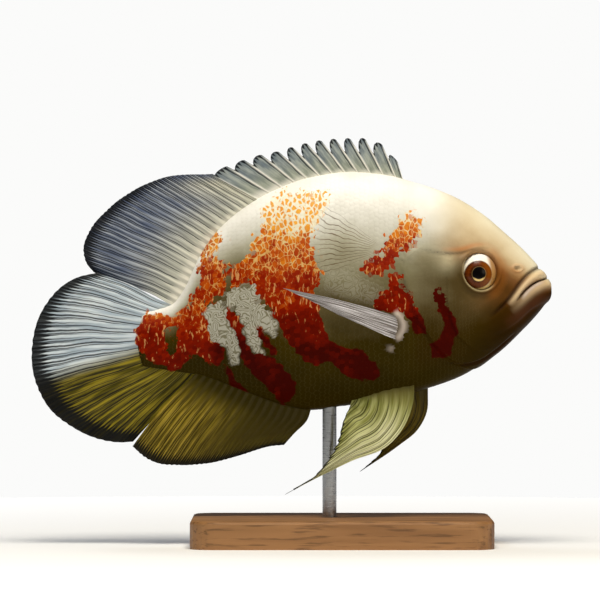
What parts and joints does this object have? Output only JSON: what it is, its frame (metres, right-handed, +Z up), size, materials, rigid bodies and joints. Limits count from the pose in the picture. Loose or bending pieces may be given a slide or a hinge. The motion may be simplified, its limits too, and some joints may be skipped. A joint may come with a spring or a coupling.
{
  "type": "oscar fish",
  "caption": "Life-size display model of a red tiger oscar fish in side pose with its fins spread, held above a flat board by an upright rod.",
  "frame": {"origin": "under the middle of the whole model, on the surface that the stand rests on", "axes": "+X towards the snout, +Y out of the left flank, +Z up through the dorsal fin"},
  "size_m": [0.26, 0.1, 0.2032],
  "materials": {
    "skin_pale": "moist scaled skin",
    "skin_olive": "moist smooth skin",
    "skin_orange": "moist scaled skin",
    "fin_blue_grey": "thin moist membrane",
    "fin_olive": "thin moist membrane",
    "fin_yellow": "thin moist membrane",
    "fin_clear": "thin moist membrane",
    "eye": "wet eye",
    "stand_wood": "satin",
    "stand_steel": "brushed"
  },
  "bodies": {
    "root": {"head": "skin_pale", "lower_jaw": "skin_olive", "gill_cover_right": "skin_olive", "gill_cover_left": "skin_olive", "trunk": "skin_pale", "tail_stalk": "skin_orange", "eye_right": "eye", "eye_left": "eye", "dorsal_fin_spiny": "fin_blue_grey", "dorsal_fin_soft": "fin_blue_grey", "tail_fin": "fin_olive", "anal_fin": "fin_olive", "pelvic_fin_right": "fin_yellow", "pelvic_fin_left": "fin_yellow", "pectoral_fin_right": "fin_clear", "pectoral_fin_left": "fin_clear", "stand_base": "stand_wood", "stand_rod": "stand_steel"}
  },
  "joints": []
}
